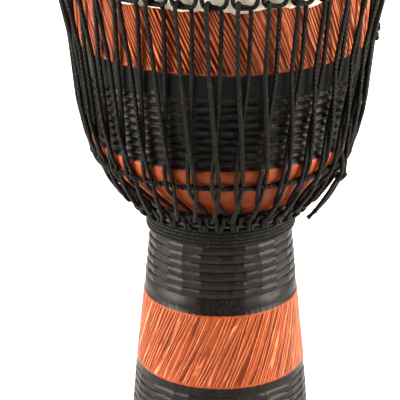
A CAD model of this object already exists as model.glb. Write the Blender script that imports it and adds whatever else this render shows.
"""A rope-tuned djembe: carved copper and black shell, goatskin head, black braided ropes."""

import math

import bpy
import numpy as np
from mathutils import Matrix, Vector


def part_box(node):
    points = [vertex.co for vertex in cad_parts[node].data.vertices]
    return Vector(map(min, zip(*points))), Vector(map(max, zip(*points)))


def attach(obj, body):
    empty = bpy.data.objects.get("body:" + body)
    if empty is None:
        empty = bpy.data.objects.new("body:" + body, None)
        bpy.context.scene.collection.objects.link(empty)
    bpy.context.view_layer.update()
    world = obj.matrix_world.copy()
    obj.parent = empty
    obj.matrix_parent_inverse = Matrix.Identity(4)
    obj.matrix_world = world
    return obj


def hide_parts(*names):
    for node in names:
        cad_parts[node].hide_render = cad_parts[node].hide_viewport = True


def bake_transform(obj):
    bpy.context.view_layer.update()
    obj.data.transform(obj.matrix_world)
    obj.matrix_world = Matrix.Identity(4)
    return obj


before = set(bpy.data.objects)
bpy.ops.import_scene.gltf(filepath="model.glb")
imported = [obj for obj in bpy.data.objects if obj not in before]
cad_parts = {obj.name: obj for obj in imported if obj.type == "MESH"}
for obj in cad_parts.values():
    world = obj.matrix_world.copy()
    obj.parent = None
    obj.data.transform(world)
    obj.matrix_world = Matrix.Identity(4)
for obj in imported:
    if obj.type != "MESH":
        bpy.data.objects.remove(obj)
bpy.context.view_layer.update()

# ---- Sizes in millimetres, and angles in degrees: 0 is the front (-Y), growing towards +X ----

MM = 0.001


def half_width(node):
    return float(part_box(node)[1][0]) / MM


def middle_height(node):
    low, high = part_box(node)
    return float(low[2] + high[2]) / 2 / MM


DRUM_HEIGHT = float(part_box("goatskin_head")[1][2]) / MM
HEAD_RADIUS = half_width("goatskin_head")

# Half the thickness of each ring's wire, and the (radius, height) of the wire's middle.
CROWN_WIRE, FLESH_WIRE, BOTTOM_WIRE = 3.0, 2.6, 2.5
CROWN_RING = (half_width("crown_ring") - CROWN_WIRE, middle_height("crown_ring"))
FLESH_RING = (half_width("flesh_ring") - FLESH_WIRE, middle_height("flesh_ring"))
BOTTOM_RING = (half_width("bottom_ring") - BOTTOM_WIRE, middle_height("bottom_ring"))

ROPE_RADIUS = 2.2
THIN_CORD = 1.25
PAIRS = 36
PAIR_STEP = 360 / PAIRS
PAIR_PHASE = -3.0
LOWER_LOOP_SHIFT = 7.0

NECK_RADIUS, NECK_HEIGHT = 72.5, 280.0
COLLAR_TOP, COLLAR_RADIUS = 360.0, 133.0
LOWER_BAND = (106.0, 183.0)
UPPER_BAND = (462.0, 546.0)
SHELL_COLUMNS = 864

rng = np.random.default_rng(12)


def around(angle, radius, height):
    """Corners in mm at these angles, radii and heights."""
    angle, radius, height = np.broadcast_arrays(angle, radius, height)
    turn = np.radians(angle)
    return np.stack([radius * np.sin(turn), -radius * np.cos(turn), height], axis=-1).astype(float)


def ripple(angle, height, turns, rise, terms=7):
    """Smooth noise of about -1 to 1 that closes round the drum: turns is the lowest and highest
    number of waves in one turn, and rise is the most waves in one mm of height."""
    total = 0
    for _ in range(terms):
        waves = int(rng.integers(turns[0], turns[1] + 1))
        slant = rng.uniform(-rise, rise)
        phase = rng.uniform(0, 2 * math.pi)
        total = total + np.cos(np.radians(waves * angle) + 2 * math.pi * slant * height + phase)
    return total / math.sqrt(terms)


# ---- Meshes ----


def make_piece(name, corners, faces, material, uv=None, values=None):
    """A smooth mesh object from corners in mm. uv: one pair for each corner of each face.
    values: named numbers for each corner, which the materials read."""
    mesh = bpy.data.meshes.new(name)
    mesh.from_pydata((np.asarray(corners) * MM).tolist(), [], faces)
    if uv is not None:
        layer = mesh.uv_layers.new(name="lay")
        layer.data.foreach_set("uv", np.asarray(uv, np.float32).ravel())
    for key, numbers in (values or {}).items():
        attribute = mesh.attributes.new(key, "FLOAT", "POINT")
        attribute.data.foreach_set("value", np.asarray(numbers, np.float32).ravel())
    mesh.polygons.foreach_set("use_smooth", np.ones(len(mesh.polygons), bool))
    mesh.materials.append(material)
    piece = bpy.data.objects.new(name, mesh)
    bpy.context.scene.collection.objects.link(piece)
    return piece


def ring_faces(rows, columns, closed):
    """Quads of a grid whose rows run round and close. closed: its last row meets its first."""
    row = np.arange(rows if closed else rows - 1)[:, None]
    column = np.arange(columns)[None, :]
    beside = (column + 1) % columns
    above = (row + 1) % rows
    quads = np.stack(
        [
            row * columns + column,
            row * columns + beside,
            above * columns + beside,
            above * columns + column,
        ],
        axis=-1,
    )
    return quads.reshape(-1, 4).tolist()


# ---- Ropes ----


def rounded(points, bend, step, closed):
    """The path through points with each corner rounded, and no stretch longer than step."""
    points = np.asarray(points, float)
    count = len(points)
    path = []
    for i in range(count):
        here = points[i]
        if not closed and i in (0, count - 1):
            path.append(here)
            continue
        back = points[i - 1] - here
        ahead = points[(i + 1) % count] - here
        start = here + back * min(0.45, bend / np.linalg.norm(back))
        end = here + ahead * min(0.45, bend / np.linalg.norm(ahead))
        for t in (0, 0.25, 0.5, 0.75, 1):
            path.append((1 - t) ** 2 * start + 2 * t * (1 - t) * here + t * t * end)
    full = []
    ends = path[1:] + ([path[0]] if closed else [])
    for a, b in zip(path, ends):
        pieces = max(1, int(math.ceil(np.linalg.norm(b - a) / step)))
        full.extend(a + (b - a) * k / pieces for k in range(pieces))
    if not closed:
        full.append(path[-1])
    return np.array(full)


def carried_frames(path, closed):
    """Two directions square to the path at each point, carried along it without twist."""
    if closed:
        along = np.roll(path, -1, axis=0) - np.roll(path, 1, axis=0)
    else:
        along = np.gradient(path, axis=0)
    along /= np.linalg.norm(along, axis=1)[:, None]
    side = np.cross((0.3, 0.2, 1.0), along[0])
    sides = [side / np.linalg.norm(side)]
    order = list(range(1, len(path))) + ([0] if closed else [])
    for i in order:
        side = sides[-1] - along[i] * np.dot(sides[-1], along[i])
        sides.append(side / np.linalg.norm(side))
    sides = np.array(sides)
    if closed:
        up = np.cross(along[0], sides[0])
        twist = math.atan2(np.dot(sides[-1], up), np.dot(sides[-1], sides[0]))
        sides = sides[:-1]
        undo = -twist * np.arange(len(path)) / len(path)
        ups = np.cross(along, sides)
        sides = sides * np.cos(undo)[:, None] + ups * np.sin(undo)[:, None]
    return sides, np.cross(along, sides)


def rope_parts(path, radius, sides, closed, first=0):
    """Corners, faces and UVs of a round rope along a path. radius may differ from point to point.
    u runs once round the rope, and v along it in the same scale. first: number of corner one."""
    count = len(path)
    across, up = carried_frames(path, closed)
    angle = 2 * math.pi * np.arange(sides) / sides
    size = np.broadcast_to(np.asarray(radius, float), count)[:, None, None]
    sideways = across[:, None, :] * np.cos(angle)[None, :, None]
    upwards = up[:, None, :] * np.sin(angle)[None, :, None]
    corners = path[:, None, :] + size * (sideways + upwards)
    faces = [[first + c for c in face] for face in ring_faces(count, sides, closed)]
    stretches = np.linalg.norm(np.roll(path, -1, axis=0) - path, axis=1)
    length = np.concatenate([[0], np.cumsum(stretches)]) / (2 * math.pi * float(np.max(radius)))
    rows = count if closed else count - 1
    v_low = np.repeat(length[:rows], sides)
    v_high = np.repeat(length[1 : rows + 1], sides)
    u_low = np.tile(np.arange(sides) / sides, rows)
    u_high = u_low + 1 / sides
    uv = np.stack(
        [
            np.stack([u_low, v_low], -1),
            np.stack([u_high, v_low], -1),
            np.stack([u_high, v_high], -1),
            np.stack([u_low, v_high], -1),
        ],
        axis=1,
    ).reshape(-1, 2)
    if not closed:
        faces.append([first + c for c in reversed(range(sides))])
        faces.append([first + (count - 1) * sides + c for c in range(sides)])
        uv = np.concatenate([uv, np.zeros((2 * sides, 2))])
    return corners.reshape(-1, 3), faces, uv


def make_rope(name, paths, radius, material, closed=True, sides=10):
    """One piece of one or more ropes."""
    corners, faces, uv = [], [], []
    for path in paths:
        first = sum(len(part) for part in corners)
        new_corners, new_faces, new_uv = rope_parts(path, radius, sides, closed, first)
        corners.append(new_corners)
        faces.extend(new_faces)
        uv.append(new_uv)
    return make_piece(name, np.concatenate(corners), faces, material, uv=np.concatenate(uv))


# ---- The bowl's underside, which the ropes follow ----

BOWL_CURVE = np.array(
    [
        (NECK_RADIUS, NECK_HEIGHT),
        (NECK_RADIUS + 7.5, NECK_HEIGHT + 16),
        (COLLAR_RADIUS - 7, COLLAR_TOP - 34),
        (COLLAR_RADIUS, COLLAR_TOP),
    ]
)


def bezier(control, t):
    """The points at t, from 0 to 1, on the cubic curve with these four control points."""
    t = np.asarray(t, float)[..., None]
    a, b, c, d = control
    return (1 - t) ** 3 * a + 3 * (1 - t) ** 2 * t * b + 3 * (1 - t) * t**2 * c + t**3 * d


def off_underside(t, standoff):
    """(radius, height) of a point that stands off the bowl's underside."""
    point = bezier(BOWL_CURVE, t)
    along = bezier(BOWL_CURVE, t + 0.001) - bezier(BOWL_CURVE, t - 0.001)
    along /= np.linalg.norm(along)
    return point[0] + along[1] * standoff, point[1] - along[0] * standoff


# ---- Materials ----


class Nodes:
    """A material's node tree, with short ways to add and join nodes."""

    def __init__(self, name):
        self.material = bpy.data.materials.new(name)
        self.material.use_nodes = True
        self.tree = self.material.node_tree
        self.shader = self.tree.nodes["Principled BSDF"]

    def add(self, kind, **settings):
        node = self.tree.nodes.new(kind)
        for key, value in settings.items():
            setattr(node, key, value)
        return node

    def join(self, output, socket):
        if isinstance(output, (int, float)):
            socket.default_value = output
        elif isinstance(output, tuple):
            socket.default_value = (*output, 1)
        else:
            self.tree.links.new(output, socket)

    def math(self, operation, a, b=0.0, clamp=False):
        node = self.add("ShaderNodeMath", operation=operation, use_clamp=clamp)
        self.join(a, node.inputs[0])
        self.join(b, node.inputs[1])
        return node.outputs[0]

    def value(self, name):
        """A number that the mesh holds for each corner."""
        return self.add("ShaderNodeAttribute", attribute_name=name).outputs["Fac"]

    def lay(self):
        """The UV map, and its u and v."""
        uv = self.add("ShaderNodeUVMap", uv_map="lay").outputs[0]
        split = self.add("ShaderNodeSeparateXYZ")
        self.tree.links.new(uv, split.inputs[0])
        return uv, split.outputs[0], split.outputs[1]

    def noise(self, scale, stretch=(1, 1, 1), detail=3, roughness=0.5, vector=None):
        mapping = self.add("ShaderNodeMapping")
        mapping.inputs["Scale"].default_value = stretch
        if vector is None:
            vector = self.add("ShaderNodeTexCoord").outputs["Object"]
        self.tree.links.new(vector, mapping.inputs["Vector"])
        node = self.add("ShaderNodeTexNoise")
        self.tree.links.new(mapping.outputs[0], node.inputs["Vector"])
        node.inputs["Scale"].default_value = scale
        node.inputs["Detail"].default_value = detail
        node.inputs["Roughness"].default_value = roughness
        return node.outputs["Fac"]

    def spread(self, value, low, high, to_low=0.0, to_high=1.0):
        """value from low to high becomes to_low to to_high, and stays inside them."""
        node = self.add("ShaderNodeMapRange")
        self.join(value, node.inputs["Value"])
        node.inputs["From Min"].default_value = low
        node.inputs["From Max"].default_value = high
        node.inputs["To Min"].default_value = to_low
        node.inputs["To Max"].default_value = to_high
        return node.outputs[0]

    def mix(self, share, a, b):
        """Colour a where share is 0, and b where it is 1. The colours are sockets 6 and 7."""
        node = self.add("ShaderNodeMix", data_type="RGBA")
        self.join(share, node.inputs["Factor"])
        self.join(a, node.inputs[6])
        self.join(b, node.inputs[7])
        return node.outputs[2]

    def bump(self, height, strength, distance):
        node = self.add("ShaderNodeBump")
        node.inputs["Strength"].default_value = strength
        node.inputs["Distance"].default_value = distance
        self.join(height, node.inputs["Height"])
        self.tree.links.new(node.outputs[0], self.shader.inputs["Normal"])

    def set(self, **sockets):
        """The finished material, with these on the shader's own sockets."""
        for key, value in sockets.items():
            self.join(value, self.shader.inputs[key.replace("_", " ")])
        return self.material


PAINT_VALUES = ("copper", "gouged", "dark", "raw", "tone")


def shell_paint():
    """Black and copper paint over carved wood. The mesh says where it is copper, gouged, dark, raw
    or lighter in tone. Each gouge is one unit of u wide, so its hollow and ridge come from u."""
    n = Nodes("carved_paint")
    copper, gouged, dark, raw, tone = (n.value(key) for key in PAINT_VALUES)
    uv, u, _ = n.lay()
    place = n.math("FRACT", u)
    streak = n.noise(1.3, (1, 0.3, 1), detail=3, roughness=0.6, vector=uv)
    place = n.math("ADD", place, n.math("MULTIPLY", n.math("SUBTRACT", streak, 0.5), 0.5))
    off = n.math("ABSOLUTE", n.math("SUBTRACT", place, 0.42))
    reach = n.spread(tone, 0, 1, 0.02, 0.34)
    depth = n.math("DIVIDE", n.math("SUBTRACT", reach, off), 0.15, clamp=True)
    depth = n.math("MULTIPLY", depth, n.math("MULTIPLY", gouged, n.spread(tone, 0, 1, 0.5, 1.0)))
    ridge = n.spread(n.math("ABSOLUTE", n.math("SUBTRACT", place, 0.84)), 0.13, 0.05)
    ridge = n.math("MULTIPLY", ridge, gouged)
    ridge = n.math("MULTIPLY", ridge, n.spread(streak, 0.34, 0.6))

    grain = n.noise(120, (1, 1, 0.12), detail=5, roughness=0.6)
    blotch = n.noise(16, (1, 1, 0.5), detail=4)
    speck = n.noise(1100, detail=3, roughness=0.7)
    warm = n.mix(n.spread(grain, 0.32, 0.68), (0.19, 0.0275, 0.0065), (0.35, 0.063, 0.0145))
    warm = n.mix(n.spread(blotch, 0.35, 0.7, 0, 0.5), warm, (0.42, 0.086, 0.024))
    fibre = n.noise(4.5, (1, 0.1, 1), detail=2, vector=uv)
    scratched = n.math("MULTIPLY", n.spread(fibre, 0.5, 0.62, 0, 0.6), gouged)
    warm = n.mix(scratched, warm, (0.15, 0.02, 0.0055))
    warm = n.mix(depth, warm, (0.078, 0.0115, 0.0027))
    warm = n.mix(n.math("MULTIPLY", ridge, 0.75), warm, (0.88, 0.31, 0.12))
    black = n.mix(n.spread(grain, 0.35, 0.7), (0.0015, 0.0011, 0.0008), (0.007, 0.0053, 0.004))
    black = n.mix(n.math("MULTIPLY", tone, 0.4), black, (0.02, 0.0165, 0.0138))
    worn = n.spread(n.noise(420, (1, 1, 0.6), detail=4, roughness=0.7), 0.52, 0.7, 0, 0.6)
    black = n.mix(worn, black, (0.036, 0.03, 0.025))
    black = n.mix(dark, black, (0.0025, 0.0022, 0.002))
    wood = n.mix(n.spread(grain, 0.3, 0.7), (0.16, 0.085, 0.045), (0.3, 0.17, 0.095))
    colour = n.mix(raw, n.mix(copper, black, warm), wood)
    rough = n.math("ADD", n.spread(speck, 0.25, 0.75, 0.25, 0.46), n.math("MULTIPLY", raw, 0.25))
    relief = n.math("ADD", n.math("MULTIPLY", grain, 0.5), n.math("MULTIPLY", speck, 0.55))
    relief = n.math("SUBTRACT", relief, n.math("MULTIPLY", depth, 1.3))
    n.bump(relief, 0.55, 0.0007)
    return n.set(Base_Color=colour, Roughness=rough, Specular_IOR_Level=0.15)


def braided_rope():
    """Black braid: two sets of strands that cross, from the rope's own UVs."""
    n = Nodes("braided_rope")
    _, u, v = n.lay()
    strands = 4 * math.pi
    along = n.math("MULTIPLY", v, 0.75)
    crossing = []
    for way in ("ADD", "SUBTRACT"):
        wave = n.math("SINE", n.math("MULTIPLY", n.math(way, u, along), strands))
        crossing.append(n.math("ABSOLUTE", wave))
    braid = n.math("MAXIMUM", *crossing)
    dirt = n.noise(260, detail=4)
    fleck = n.spread(n.noise(520, detail=3, roughness=0.7), 0.58, 0.68)
    colour = n.mix(n.spread(braid, 0.5, 1.0), (0.0006, 0.0006, 0.0005), (0.006, 0.0056, 0.0048))
    colour = n.mix(n.spread(dirt, 0.4, 0.8, 0, 0.4), colour, (0.013, 0.0125, 0.0105))
    colour = n.mix(n.math("MULTIPLY", fleck, 0.6), colour, (0.1, 0.095, 0.082))
    n.bump(braid, 1.0, 0.0009)
    rough = n.spread(dirt, 0.2, 0.8, 0.33, 0.52)
    return n.set(Base_Color=colour, Roughness=rough, Specular_IOR_Level=0.1)


def goatskin():
    """Cream rawhide with mottling, pores and faint veins. The hem is paler."""
    n = Nodes("goatskin")
    hem = n.value("hem")
    cloud = n.noise(9, detail=5, roughness=0.6)
    fine = n.noise(120, (1, 1, 0.35), detail=5)
    pores = n.noise(1400, detail=1)
    colour = n.mix(n.spread(cloud, 0.3, 0.7), (0.5, 0.38, 0.23), (0.74, 0.63, 0.45))
    colour = n.mix(n.spread(fine, 0.45, 0.75, 0, 0.5), colour, (0.4, 0.28, 0.15))
    pale = n.mix(n.spread(fine, 0.35, 0.7), (1.0, 0.95, 0.82), (0.88, 0.77, 0.56))
    colour = n.mix(hem, colour, pale)
    height = n.math("ADD", n.math("MULTIPLY", fine, 0.7), n.math("MULTIPLY", pores, 0.3))
    n.bump(height, 0.4, 0.0008)
    return n.set(Base_Color=colour, Roughness=n.spread(fine, 0.3, 0.7, 0.5, 0.75))


def painted_steel():
    """Black paint, worn brown in specks."""
    n = Nodes("painted_steel")
    wear = n.noise(300, detail=5)
    colour = n.mix(n.spread(wear, 0.55, 0.75), (0.012, 0.012, 0.012), (0.09, 0.07, 0.055))
    n.bump(wear, 0.3, 0.0004)
    return n.set(Base_Color=colour, Roughness=n.spread(wear, 0.3, 0.7, 0.35, 0.6), Metallic=0.3)


def studio_floor():
    """Plain and pale."""
    n = Nodes("studio_floor")
    shade = n.noise(3, detail=2)
    return n.set(Base_Color=n.mix(shade, (0.86, 0.86, 0.86), (0.88, 0.88, 0.88)), Roughness=0.9)


ROPE = braided_rope()

# ---- Camera ----


CAMERA_PLACE = (-0.0215, -1.92, 1.043)
LOOKS_DOWN = 21.7


def make_camera():
    data = bpy.data.cameras.new("camera")
    data.sensor_width = 36
    data.lens = 180
    data.clip_end = 50
    camera = bpy.data.objects.new("camera", data)
    camera.location = CAMERA_PLACE
    camera.rotation_euler = (math.radians(90 - LOOKS_DOWN), 0, 0)
    bpy.context.scene.collection.objects.link(camera)
    bpy.context.scene.camera = camera


make_camera()

# ---- The two free rope ends, whose routes are the ones in the solids ----

FREE_END_FRONT = [
    (119, -61, 332.5),
    (117.6, -59, 327.5),
    (113.2, -52.5, 318),
    (108.5, -45, 305.5),
    (102.6, -36.5, 292),
    (95.8, -26, 277),
]
FREE_END_BACK = [
    (122.6, -54.8, 332.5),
    (121.2, -52.6, 327.5),
    (117.2, -46, 317.6),
    (112.6, -37.6, 304.6),
    (106.4, -29, 290.8),
    (99, -20, 277.8),
    (89.8, -14.8, 265.4),
]


def smooth_route(points, step):
    """A curve through every point, as the solids have it (a Catmull-Rom spline)."""
    points = np.array(points, float)
    padded = np.vstack([2 * points[0] - points[1], points, 2 * points[-1] - points[-2]])
    path = []
    for i in range(len(points) - 1):
        a, b, c, d = padded[i : i + 4]
        pieces = max(2, int(np.linalg.norm(c - b) / step))
        for k in range(pieces):
            t = k / pieces
            square = 2 * a - 5 * b + 4 * c - d
            cube = 3 * b - a - 3 * c + d
            path.append(0.5 * (2 * b + (c - a) * t + square * t**2 + cube * t**3))
    path.append(points[-1])
    return np.array(path)


def make_free_end(name, route, thickness):
    """A rope with a heat-cut end, which flares a little. thickness: its radius."""
    path = smooth_route(route, 2.2)
    from_end = np.linalg.norm(path - path[-1], axis=1)
    flare = 0.28 * np.exp(-from_end / 2.2)
    pinch = 0.12 * np.exp(-(((from_end - 5) / 2) ** 2))
    radius = thickness * (1 + flare - pinch)
    corners, faces, uv = rope_parts(path, radius, 14, closed=False)
    piece = make_piece(name, corners, faces, ROPE, uv=uv)
    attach(piece, "drum")
    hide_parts(name)


make_free_end("free_end_front", FREE_END_FRONT, ROPE_RADIUS)
make_free_end("free_end_back", FREE_END_BACK, ROPE_RADIUS * 0.92)

# ---- Shell ----


class TurnedRows:
    """Rows of corners round the drum, up the outside and down the inside. Each row can be turned a
    little further than the one before, so that the mesh's columns follow slanted gouges."""

    def __init__(self, columns):
        self.columns = np.arange(columns) * 360 / columns - 180
        self.turned = 0.0
        self.rows, self.phase, self.gouges = [], [], []
        self.values = {key: [] for key in PAINT_VALUES}

    def add(self, radius, height, turn=0.0, phase=None, gouges=36, **values):
        """radius and height: a number, a column for each row, or a full grid. turn: degrees that
        each row adds. phase: how many gouges lie before each corner, out of gouges in all."""
        shape = np.broadcast_shapes(np.shape(radius), np.shape(height), (1, len(self.columns)))
        turn = np.broadcast_to(turn, (shape[0], 1)).cumsum(axis=0) + self.turned
        self.turned = float(turn[-1, 0])
        angle = self.columns[None, :] + turn
        if phase is None:
            phase = gouges * self.columns[None, :] / 360
        radius = np.broadcast_to(radius, shape)
        height = np.broadcast_to(height, shape)
        self.rows.append(around(angle, radius, height))
        self.phase.append(np.broadcast_to(phase, shape))
        self.gouges.append(np.full(shape[0], gouges))
        for key, rows in self.values.items():
            rows.append(np.broadcast_to(values.get(key, 0.0), shape))

    def lay(self, corners):
        """One (u, v) for each corner of each face: u counts gouges, and v is 10 mm of height."""
        phase = np.concatenate(self.phase)
        next_phase = np.roll(phase, -1, axis=1)
        next_phase[:, -1] += np.concatenate(self.gouges)
        height = corners[:, :, 2] / 10
        next_height = np.roll(height, -1, axis=1)

        def round_face(here, beside):
            above = [np.roll(beside, -1, axis=0), np.roll(here, -1, axis=0)]
            return np.stack([here, beside, *above], axis=-1)

        u = round_face(phase, next_phase)
        v = round_face(height, next_height)
        return np.stack([u, v], axis=-1).reshape(-1, 2)


def stem_radius(height):
    return np.interp(height, [0, 106, 183, 252, 280], [97.6, 88.5, 80.4, 73.9, 72.5])


def upper_radius(height):
    return np.interp(height, [360, 462, 530, 620], [133, 148.4, 151.1, 151.1])


def gouge_phase(columns, height, count, wander):
    """How many gouges lie before each corner. The columns follow the gouges, so only their uneven
    widths and their wandering are worked out here."""
    angle = columns[None, :]
    phase = count * angle / 360 + 0.42 * ripple(angle, 0 * height, (14, 56), 0)
    return phase + wander * ripple(angle, height, (5, 36), 0.01)


def facet_field(columns, wander):
    """Flat cuts round one band: how far each column lies below the round, for a radius of 1, and
    a number of its own for each cut. wander: how far each edge between cuts is out of place."""
    count = len(wander)
    cut = np.arange(-1, count + 2)
    edges = (cut + wander[cut % count]) * 360 / count - 180
    index = np.searchsorted(edges, columns, side="right") - 1
    low, high = edges[index], edges[index + 1]
    half = np.radians(high - low) / 2
    off = np.radians(columns - (low + high) / 2)
    return 1 - np.cos(half) / np.cos(off), rng.random(count)[index % count]


def add_copper_band(shell, bottom, top, radius_at, lean, count, depth, strength):
    """A copper band with slanted gouges between two plain edges. lean: degrees that a gouge turns
    in one mm of height. depth: of the deepest gouge. strength: how deep the others are."""
    edge = 2.4
    rows = max(8, int((top - bottom) / 4.5))
    inner = np.linspace(bottom + edge + 0.8, top - edge - 0.8, rows)
    height = np.concatenate([[bottom, bottom + edge], inner, [top - edge, top]])[:, None]
    angle = shell.columns[None, :]
    phase = gouge_phase(shell.columns, height, count, 0.22)
    place = phase - np.floor(phase)
    own = rng.random(count)[np.floor(phase).astype(int) % count]
    patchy = np.clip(0.7 + 0.25 * ripple(angle, height, (4, 16), 0.02), 0.3, 1)
    tone = np.clip(strength * (0.4 + 0.6 * own) * (0.45 + patchy), 0, 1)
    inside = np.clip(3 * (np.minimum(height - bottom, top - height) / edge - 0.75), 0, 1)
    scoop = np.clip(1 - np.abs(place - 0.42) / 0.42, 0, 1)
    cut = scoop * (0.25 + 0.9 * tone) * inside
    waver = 0.35 * ripple(angle, 0 * height, (30, 90), 0)
    at_edge = (np.minimum(height - bottom, top - height) < 0.1).astype(float)
    turn = np.diff(height, axis=0, prepend=height[:1]) * lean
    shell.add(
        radius_at(height) - depth * cut,
        height + waver * at_edge,
        turn,
        phase,
        count,
        copper=1.0,
        gouged=inside,
        tone=tone,
    )


def add_ring_cuts(shell, bottom, top, count, radius_at, facets):
    """Bands of flat cuts round the stem, with a narrow groove between them."""
    pitch = (top - bottom) / count
    across = np.array([0.0, 0.055, 0.12, 0.5, 0.88, 0.945])
    bulge = np.array([-1.7, -0.7, 0.05, 0.25, 0.05, -0.7])
    wander = rng.uniform(-0.3, 0.3, facets)
    for k in range(count):
        sink, own = facet_field(shell.columns, wander + rng.uniform(-0.12, 0.12, facets))
        height = (bottom + (k + across) * pitch)[:, None]
        waver = 0.3 * ripple(shell.columns[None, :], 0 * height, (3, 30), 0)
        on_band = (bulge > -1)[:, None]
        cut = on_band * (1.1 * sink[None, :] * radius_at(height) + 0.3 * own)
        groove = np.clip(-bulge, 0, 1)[:, None]
        radius = radius_at(height) + bulge[:, None] - cut
        shell.add(radius, height + waver, tone=own[None, :] * on_band, dark=groove)


def add_stepped_ridges(shell, bottom, top, count):
    """Scooped horizontal ridges cut by short strokes in the black band."""
    pitch = (top - bottom) / count
    across = np.array([0.0, 0.1, 0.28, 0.5, 0.72, 0.9])
    scoop = np.array([0.0, 0.7, 1.3, 1.5, 1.0, 0.35])
    for k in range(count):
        sink, own = facet_field(shell.columns, rng.uniform(-0.33, 0.33, 38))
        height = (bottom + (k + across) * pitch)[:, None]
        waver = 0.7 * ripple(shell.columns[None, :], 0 * height, (8, 40), 0)
        waver = waver + 0.8 * (own[None, :] - 0.5)
        crest = (across == 0)[:, None]
        depth = scoop[:, None] * (1.1 + 0.7 * own[None, :]) + ~crest * sink[None, :] * 100
        shade = np.clip(scoop - 0.6, 0, 1)[:, None] * 0.6
        radius = upper_radius(height) - 1.0 - depth
        shell.add(radius, height + waver, tone=own[None, :] * 0.7, dark=shade)


def add_plain(shell, heights, radius_at, inset=0.0, **values):
    """Smooth rows at these heights, a little uneven. inset: how far they lie inside the outline."""
    height = np.asarray(heights, float)[:, None]
    waver = 0.12 * ripple(shell.columns[None, :], height, (3, 24), 0.03)
    shell.add(radius_at(height) - inset + waver, height, **values)


def add_bowl_underside(shell):
    """Smooth copper from the bottom ring up to the black band, and black below it."""
    copper_from = 301
    point = bezier(BOWL_CURVE, np.linspace(0.02, 1, 22))
    radius, height = point[:, :1], point[:, 1:]
    copper = (height > copper_from).astype(float)
    waver = 0.25 * ripple(shell.columns[None, :], height, (4, 40), 0.03)
    lip = (height > COLLAR_TOP - 1).astype(float)
    tone = np.clip(0.25 * ripple(shell.columns[None, :], height, (20, 90), 0.01), 0, 1)
    shell.add(radius + waver, height + 0.5 * waver * lip, copper=copper, tone=tone)


def add_inside(shell):
    """Over the bearing edge, down the bowl's inside and out through the stem."""
    rim = upper_radius(600)
    top = DRUM_HEIGHT - 1.3

    def curve(control, steps):
        return bezier(np.array(control), np.linspace(0, 1, steps + 1)[1:])

    def corner(start, middle, end):
        t = np.linspace(0, 1, 6)[1:, None]
        return (1 - t) ** 2 * start + 2 * t * (1 - t) * middle + t * t * end

    outer = corner(*np.array([(rim, top - 8), (rim, top), (rim - 6, top)]))
    inner = corner(*np.array([(rim - 6, top), (rim - 11, top), (rim - 13, top - 12)]))
    wall = np.array([(134, 462)])
    bowl = curve([(134, 462), (130, 390), (118, 345), (92, 318)], 6)
    throat = curve([(92, 318), (75, 300), (56, 296), (53, 276)], 5)
    stem = np.array([(60.5, 200), (70.5, 100), (80, 6), (82, 0)])
    line = np.concatenate([outer, inner, wall, bowl, throat, stem])
    radius, height = line[:, :1], line[:, 1:]
    chatter = 0.7 * ripple(shell.columns[None, :], height, (20, 60), 0.02)
    chatter = chatter * ((height < 590) & (height > 1))
    shell.add(radius + chatter, height, raw=1.0)


def make_shell():
    """From the foot up the outside, over the rim and down the inside to the foot again."""
    shell = TurnedRows(SHELL_COLUMNS)
    shell.add(np.array([[95.5], [97.0], [97.5]]), np.array([[0.0], [0.6], [2.4]]))
    add_plain(shell, [4, 12, 21], stem_radius, 0.1)
    add_ring_cuts(shell, 22, 96, 9, stem_radius, 30)
    add_plain(shell, [97, 101, 105.2], stem_radius, 0.5)
    add_copper_band(shell, *LOWER_BAND, stem_radius, 0.285, 122, 0.65, 0.66)
    add_plain(shell, [183.8, 190, 200.5], stem_radius, 0.6)
    add_ring_cuts(shell, 201.5, 256.5, 6, stem_radius, 26)
    add_plain(shell, [257, 264, 272, 279], stem_radius, 0.4)
    add_bowl_underside(shell)
    add_plain(shell, [COLLAR_TOP + 0.6], upper_radius, 1.6, dark=0.7)
    add_stepped_ridges(shell, COLLAR_TOP + 1.5, 437, 9)
    add_plain(shell, [437.6, 444, 452], upper_radius, 2.0, tone=0.05, dark=0.85)
    add_plain(shell, [UPPER_BAND[0] - 3, UPPER_BAND[0] - 0.7], upper_radius, 2.3, dark=0.8)
    add_copper_band(shell, *UPPER_BAND, upper_radius, -0.175, 216, 1.5, 1.05)
    add_plain(shell, [547, 575], upper_radius, 0.3)
    add_inside(shell)
    corners = np.concatenate(shell.rows)
    values = {key: np.concatenate(rows) for key, rows in shell.values.items()}
    faces = ring_faces(*corners.shape[:2], closed=True)
    uv = shell.lay(corners)
    corners = corners.reshape(-1, 3)
    piece = make_piece("carved_shell", corners, faces, shell_paint(), uv=uv, values=values)
    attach(piece, "drum")
    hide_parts("bowl", "stem")


make_shell()

# ---- Goatskin head ----


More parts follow.
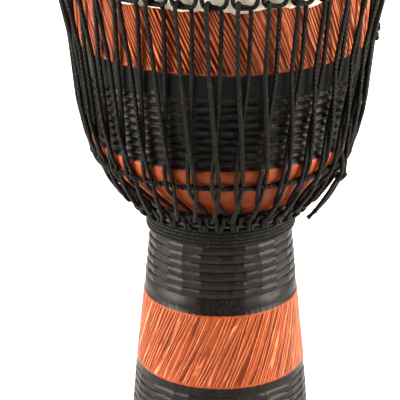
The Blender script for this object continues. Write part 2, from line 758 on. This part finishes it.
def make_head():
    """A sheet of rawhide over the bearing edge. It swells over the flesh ring, is drawn in below
    it, and ends in a ragged hem."""
    columns = 720
    thick = 0.9
    angle = np.arange(columns)[None, :] * 360 / columns
    top, edge = DRUM_HEIGHT, HEAD_RADIUS
    ring_radius, ring_height = FLESH_RING
    flat = [(r, top) for r in (0.5, 12, 30, 50, 70, 90, 110, 125, 135, 142)]
    turn = np.radians(np.linspace(0, 90, 7))
    over = [(edge - 6 + 6 * math.sin(a), top - 8 + 8 * math.cos(a)) for a in turn]
    collar = [(edge, h) for h in np.linspace(top - 14, ring_height + 9, 8)]
    swell_at = np.radians(np.linspace(62, -58, 9))
    swell = [(ring_radius + 4.0 * math.cos(a), ring_height + 4.2 * math.sin(a)) for a in swell_at]
    hem_heights = (ring_height - 6.5, 537, 531.5, 525.5)
    hem = list(zip((edge + 0.6, edge + 0.5, edge + 0.5, edge + 0.7), hem_heights))
    line = np.array(flat + over + collar + swell + hem)
    radius, height = line[:, :1], line[:, 1:]
    low = np.clip((top - 10 - height) / 60, 0, 1)
    pleat = ripple(angle, 0 * height, (60, 150), 0, terms=9)
    slack = ripple(angle, height, (12, 40), 0.01)
    shape = radius + low * (0.45 * pleat + 0.35 * slack)
    ragged = 0.45 * ripple(angle, 0 * height, (30, 110), 0)
    ragged = ragged + 0.8 * ripple(angle, 0 * height, (6, 26), 0)
    at_hem = np.zeros_like(height)
    at_hem[-3:, 0] = (0.15, 0.5, 1.0)
    drop = height + at_hem * (1.5 * ragged - 0.5)
    out = around(angle, shape, drop)
    inwards = np.where(height > top - 9, 0, thick)
    downwards = np.where(height > top - 9, thick, 0)
    under = around(angle, np.maximum(shape - inwards, 0.4), drop - downwards)
    corners = np.concatenate([out[::-1], under])
    hem_value = np.broadcast_to(np.clip((545 - height) / 8, 0, 1), shape.shape)
    values = {"hem": np.concatenate([hem_value[::-1], hem_value])}

    # The rows next to the axis are closed by one face above and one below, with no wall between.
    top_row, under_row = len(line) - 1, len(line)
    faces = ring_faces(len(corners), columns, closed=True)
    faces = faces[: top_row * columns] + faces[under_row * columns :]
    faces.append([top_row * columns + c for c in range(columns)])
    faces.append([under_row * columns + c for c in reversed(range(columns))])
    piece = make_piece("goatskin", corners.reshape(-1, 3), faces, goatskin(), values=values)
    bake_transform(piece)
    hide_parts("goatskin_head")


make_head()

# ---- Rings ----


def make_ring(name, ring, wire, body):
    """A hoop of round wire."""
    sides, columns = 12, 240
    section = np.radians(np.arange(sides) * 360 / sides)
    angle = np.arange(columns)[None, :] * 360 / columns
    radius = ring[0] + wire * np.cos(section)[:, None]
    height = ring[1] + wire * np.sin(section)[:, None]
    corners = around(angle, radius, height)
    faces = ring_faces(sides, columns, closed=True)
    piece = make_piece(name + "_hoop", corners.reshape(-1, 3), faces, painted_steel())
    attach(piece, body)
    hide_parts(name)


make_ring("crown_ring", CROWN_RING, CROWN_WIRE, "tension_rings")
make_ring("flesh_ring", FLESH_RING, FLESH_WIRE, "tension_rings")
make_ring("bottom_ring", BOTTOM_RING, BOTTOM_WIRE, "drum")

# ---- Cradle loops ----

# The (radius, height) of each loop's flat part, which the lacing passes.
CROWN_FLAT = (161.9, 531.0)
BOTTOM_FLAT = (101.5, 300.0)


def hitched_loops(ring, wire, side, flat, half_flat, legs, arch, turns, phase):
    """The path of one rope that makes a loop, takes its turns round the ring, and goes on to the
    next. side: -1 for loops below the ring, 1 for loops above it. half_flat: half the width of the
    flat part, and legs: half the distance between two loops at the ring, in degrees. arch: how far
    from the flat part the legs turn straight, or 0."""
    away = (wire + ROPE_RADIUS + 0.15) * 1.06
    radius, height = ring
    bends = np.radians(np.arange(-30, 360 * turns, 60))
    points = []
    for k in range(PAIRS):
        loop = phase + k * PAIR_STEP + rng.uniform(-0.15, 0.15)
        sag = rng.uniform(-0.5, 0.5)
        hitch = phase + k * PAIR_STEP + PAIR_STEP / 2
        for off in (-1, 1):
            points.append(around(loop + off * half_flat, flat[0], flat[1] + side * sag))
        if arch:
            points.append(around(hitch - legs, flat[0] + 0.3, flat[1] - side * arch))
        for angle, bend in zip(np.linspace(hitch - legs, hitch + legs, len(bends)), bends):
            outside = radius + away * math.cos(bend)
            points.append(around(angle, outside, height - side * away * math.sin(bend)))
        if arch:
            points.append(around(hitch + legs, flat[0] + 0.3, flat[1] - side * arch))
    return points


def make_loops():
    crown = hitched_loops(CROWN_RING, CROWN_WIRE, -1, CROWN_FLAT, 2.9, 0.9, 5.4, 1, PAIR_PHASE)
    piece = make_rope("crown_cradle", [rounded(crown, 3.6, 5, True)], ROPE_RADIUS, ROPE)
    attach(piece, "tension_rings")
    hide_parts("crown_loops")
    phase = PAIR_PHASE + LOWER_LOOP_SHIFT
    bottom = hitched_loops(BOTTOM_RING, BOTTOM_WIRE, 1, BOTTOM_FLAT, 3.0, 2.3, 0, 2, phase)
    piece = make_rope("bottom_cradle", [rounded(bottom, 3.5, 5, True)], ROPE_RADIUS, ROPE)
    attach(piece, "drum")
    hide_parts("bottom_loops")


make_loops()

# ---- Lacing ----

# How far up the underside the woven row and the crossing below it lie, from 0 to 1.
ROW_AT = 0.81
CROSSING_AT = 0.62


def lacing_points():
    """Up from a bottom loop, through a crown loop and down to the next bottom loop, 36 times. The
    front strand of each pair crosses over the back one above the woven row and below it."""
    row = off_underside(ROW_AT, ROPE_RADIUS + 1.0)
    lifted = off_underside(ROW_AT, ROPE_RADIUS + 4.2)
    back = off_underside(CROSSING_AT, ROPE_RADIUS + 1.0)
    front = off_underside(CROSSING_AT, ROPE_RADIUS + 6.2)
    run = bezier(BOWL_CURVE, CROSSING_AT + 0.01) - bezier(BOWL_CURVE, CROSSING_AT - 0.01)
    run *= 4.3 / np.linalg.norm(run)
    below = np.array(BOTTOM_FLAT) - run
    side = np.array([run[1], -run[0]])
    points = []
    for k in range(PAIRS):
        pair = PAIR_PHASE + k * PAIR_STEP
        lower = pair + LOWER_LOOP_SHIFT
        sway = rng.uniform(-0.25, 0.25, 4)
        level = rng.uniform(-5, 5, 2)
        points += [
            around(lower - PAIR_STEP + 1.1, *(below + side)),
            around(pair + 0.5, front[0], front[1]),
            around(pair + 1.4 + sway[0], row[0], row[1]),
            around(pair + 1.2, 137.2, COLLAR_TOP - 1),
            around(pair + sway[1], 145.3, 393 + level[0]),
            around(pair - 1.9 + sway[2], 152.0, 462),
            around(pair - 2.5, 166.4, 527),
            around(pair - 2.5, 165.2, 535.4),
            around(pair - 2.1, 158.0, 535.4),
            around(pair - 1.2, 156.9, 531.0),
            around(pair + 1.8, 156.8, 530.0),
            around(pair + 2.4, 156.6, 525),
            around(pair + 1.9 + sway[3], 151.4, 462),
            around(pair + sway[1], 139.9, 393 + level[0]),
            around(pair - 1.2, 136.6, COLLAR_TOP - 1),
            around(pair - 1.4 + sway[0], lifted[0], lifted[1]),
            around(pair + 0.3, back[0], back[1]),
            around(lower - 1.1, *(below - side)),
        ]
    return points


def stretch_with_lacing(piece):
    """The lacing stays put up to the collar, and its top goes down with the crown loops."""
    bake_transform(piece)


def make_lacing():
    path = rounded(lacing_points(), 7, 5, True)
    piece = make_rope("lacing", [path], ROPE_RADIUS, ROPE)
    stretch_with_lacing(piece)
    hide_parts("lacing_rope")


make_lacing()


def make_weave():
    """Two thin strands twisted together. They pass behind the left strand of each pair, hook over
    the right one and cross to the next pair."""
    low = off_underside(ROW_AT, 1.9)
    over = off_underside(ROW_AT, 2 * ROPE_RADIUS + 3.0)
    points = []
    for k in range(PAIRS):
        pair = PAIR_PHASE + k * PAIR_STEP
        tilt = rng.uniform(-0.8, 0.8)
        points += [
            around(pair - 2.4, low[0] + 0.8, low[1] + 0.5 + tilt),
            around(pair - 0.5, low[0] + 0.4, low[1] + 2),
            around(pair + 0.4, over[0] + 0.4, over[1] + 6.5),
            around(pair + 2.3, over[0] + 0.4, over[1] + 4.3),
            around(pair + 3.4, low[0] + 3.6, over[1] + 4.6),
        ]
    middle = rounded(points, 3, 0.9, True)
    across, up = carried_frames(middle, True)
    turns = 4 * PAIRS
    phase = 2 * math.pi * turns * np.arange(len(middle)) / len(middle)
    paths = []
    for start in (0, math.pi):
        lean = (phase + start)[:, None]
        paths.append(middle + 1.25 * (across * np.cos(lean) + up * np.sin(lean)))
    piece = make_rope("woven_row", paths, 1.5, ROPE, sides=8)
    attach(piece, "drum")
    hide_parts("weave_row")


make_weave()

# ---- Spare rope round the neck, the hitch on the free ends, and the stopper knot ----


def make_neck_wrap():
    """Spare rope in a close coil, a little thinner than the lacing because it is drawn tight."""
    turns, top, pitch = 5, 276.8, 3.85
    share = np.arange(turns * 90 + 1) / (turns * 90)
    angle = 200 - 360 * turns * share
    height = top - pitch * turns * share
    radius = 75.9 + 0.2 * ripple(angle, height, (2, 9), 0.02)
    path = around(angle, radius, height + 0.3 * ripple(angle, 0 * height, (2, 7), 0))
    piece = make_rope("neck_winding", [path], 1.95, ROPE, closed=False)
    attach(piece, "drum")
    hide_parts("neck_wrap")


# Where each free end comes from, as (angle, radius, height): out of the lacing, over the woven row
# and down to its exit.
FRONT_ROOT = [
    (58.4, 137.2, 362),
    (59.2, 137.5, 356),
    (60.2, 137.4, 350),
    (61, 136.8, 343),
    (61.8, 135.4, 337.5),
]
BACK_ROOT = [
    (65.7, 137, 362),
    (64.9, 137.5, 356),
    (64, 137.2, 350),
    (63.9, 136.7, 343.5),
    (64.8, 135.4, 337.5),
]


def make_free_end_roots():
    paths = []
    for root, route in ((FRONT_ROOT, FREE_END_FRONT), (BACK_ROOT, FREE_END_BACK)):
        above = [around(*point) for point in root]
        paths.append(smooth_route(above + [route[0]], 2))
    piece = make_rope("free_end_roots", paths, ROPE_RADIUS * 0.97, ROPE, closed=False)
    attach(piece, "drum")
    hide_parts("free_end_hitch")


def binding(centre, run, wide, half_gap, cord, turns=2):
    """The path of thin cord drawn tight round two ropes that lie side by side along run. half_gap:
    half the distance between their middles."""
    deep = np.cross(wide, run)
    turn = np.radians(np.arange(0, turns * 360 + 1, 10))[:, None]
    hug = ROPE_RADIUS + cord * 0.7
    sideways = half_gap * np.clip(2.5 * np.cos(turn), -1, 1) + hug * np.cos(turn)
    along = (turn / math.pi - turns) * cord
    return centre + wide * sideways + deep * hug * np.sin(turn) + run * along


def make_hitch():
    """It binds the two free ends together near the top."""
    a, b = np.array(FREE_END_FRONT[1], float), np.array(FREE_END_BACK[1], float)
    run = np.array(FREE_END_FRONT[2], float) - a
    run /= np.linalg.norm(run)
    wide = b - a
    wide -= run * np.dot(wide, run)
    gap = np.linalg.norm(wide)
    turns = binding((a + b) / 2, run, wide / gap, gap / 2, THIN_CORD)
    piece = make_rope("hitch", [turns], THIN_CORD, ROPE, closed=False)
    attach(piece, "drum")
    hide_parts("free_end_hitch")


def make_end_knot():
    """Two small trefoils of thin cord against a pair of lacing strands, and the turns that hold
    them there."""
    out = around(87.5, 1.0, 0.0)
    beside = around(177.5, 1.0, 0.0)
    up = np.array([0.0, 0.0, 1.0])
    turn = np.radians(np.arange(0, 360, 4))[:, None]
    sideways = np.sin(turn) + 2 * np.sin(2 * turn)
    upwards = np.cos(turn) - 2 * np.cos(2 * turn)
    trefoil = 1.15 * (sideways * beside + upwards * up - np.sin(3 * turn) * out)
    places = [around(87.5, 154.9, 457.5), around(87.9, 156.2, 467.0)]
    knots = make_rope("stopper_knot", [place + trefoil for place in places], THIN_CORD, ROPE)
    lacing_run = 0.99 * up + 0.135 * out
    turns = binding(around(87.0, 151.8, 462.3), lacing_run, beside, 5.0, 1.2)
    band = make_rope("knot_band", [turns], 1.2, ROPE, closed=False)
    for piece in (knots, band):
        stretch_with_lacing(piece)
        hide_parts("end_knot")


make_neck_wrap()
make_free_end_roots()
make_hitch()
make_end_knot()

# ---- Studio ----


def make_floor():
    mesh = bpy.data.meshes.new("floor")
    half = 12
    corners = [(-half, -half, 0), (half, -half, 0), (half, half, 0), (-half, half, 0)]
    mesh.from_pydata(corners, [], [(0, 1, 2, 3)])
    mesh.materials.append(studio_floor())
    floor = bpy.data.objects.new("floor", mesh)
    bpy.context.scene.collection.objects.link(floor)


def add_softbox(name, place, aim, width, height, power, spread):
    data = bpy.data.lights.new(name, "AREA")
    data.shape = "RECTANGLE"
    data.size, data.size_y = width, height
    data.energy = power
    data.spread = math.radians(spread)
    data.color = (1.0, 0.94, 0.87)
    lamp = bpy.data.objects.new(name, data)
    lamp.location = place
    away = Vector(place) - Vector(aim)
    lamp.rotation_euler = away.to_track_quat("Z", "Y").to_euler()
    bpy.context.scene.collection.objects.link(lamp)


def make_lights():
    centre = (0, 0, 0.35)
    for name, x in (("left_softbox", -1.85), ("right_softbox", 1.85)):
        add_softbox(name, (x, -0.5, 0.75), centre, 1.3, 1.3, 19.5, 64)
    add_softbox("top_softbox", (0, 1.9, 2.7), (0, 1.9, 0), 3.4, 2.4, 115, 110)
    world = bpy.data.worlds.new("studio")
    world.use_nodes = True
    background = world.node_tree.nodes["Background"]
    background.inputs["Color"].default_value = (0.9, 0.9, 0.9, 1)
    background.inputs["Strength"].default_value = 0.2
    bpy.context.scene.world = world
    bpy.context.scene.view_settings.view_transform = "Standard"


make_floor()
make_lights()
